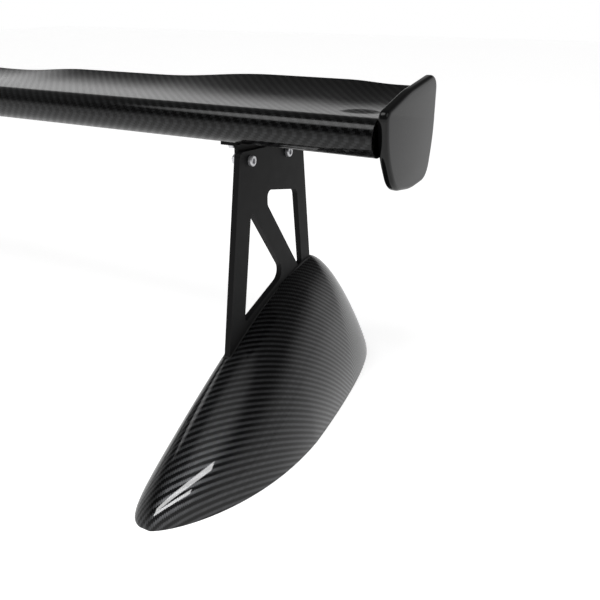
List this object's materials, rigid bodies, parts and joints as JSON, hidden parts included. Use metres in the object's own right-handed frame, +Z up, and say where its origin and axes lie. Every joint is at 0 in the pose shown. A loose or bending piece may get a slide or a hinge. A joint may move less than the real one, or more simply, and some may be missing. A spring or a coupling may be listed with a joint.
{
  "type": "racing rear wing",
  "caption": "Racing rear wing: hollow carbon airfoil with rounded endplates on cut-out upright plates that stand in teardrop base pods, angle set at the upper bolts.",
  "frame": {"origin": "centre of the footprint, in the plane of the boot lid", "axes": "+X across the car to the driver's left, +Y to the rear, +Z up"},
  "size_m": [1.4204, 0.547, 0.4719],
  "materials": {
    "carbon": "gloss lacquer over twill weave",
    "carbon_plain": "gloss lacquer",
    "core": "hard foam and bonding paste",
    "black_plate": "black anodised",
    "bolt_steel": "satin",
    "rubber": "matt"
  },
  "bodies": {
    "stand": {"upright_left": "black_plate", "upright_right": "black_plate", "pivot_bolts": "bolt_steel", "pivot_washers": "bolt_steel", "pivot_nuts": "bolt_steel", "clamp_bolts": "bolt_steel", "clamp_washers": "bolt_steel", "clamp_nuts": "bolt_steel", "foot_angle_left": "black_plate", "foot_angle_right": "black_plate", "foot_pad_left": "rubber", "foot_pad_right": "rubber", "foot_bolts": "bolt_steel", "foot_washers": "bolt_steel", "foot_nuts": "bolt_steel", "pod_left": "carbon", "pod_right": "carbon", "pod_seal_left": "rubber", "pod_seal_right": "rubber"},
    "wing": {"wing_upper_skin": "carbon", "wing_lower_skin": "carbon", "wing_spar": "core", "wing_end_rib_left": "core", "wing_end_rib_right": "core", "wing_mount_blocks_left": "core", "wing_mount_blocks_right": "core", "wing_bracket_left": "black_plate", "wing_bracket_right": "black_plate", "bracket_screws": "bolt_steel", "endplate_left": "carbon_plain", "endplate_right": "carbon_plain", "endplate_angle_left": "black_plate", "endplate_angle_right": "black_plate", "endplate_angle_screws": "bolt_steel"}
  },
  "joints": [
    {"name": "wing_tilt", "type": "hinge", "parent": "stand", "child": "wing", "pos_m": [0, -0.0355, 0.3776], "axis": [1, 0, 0], "range_deg": [-6, 8]}
  ]
}
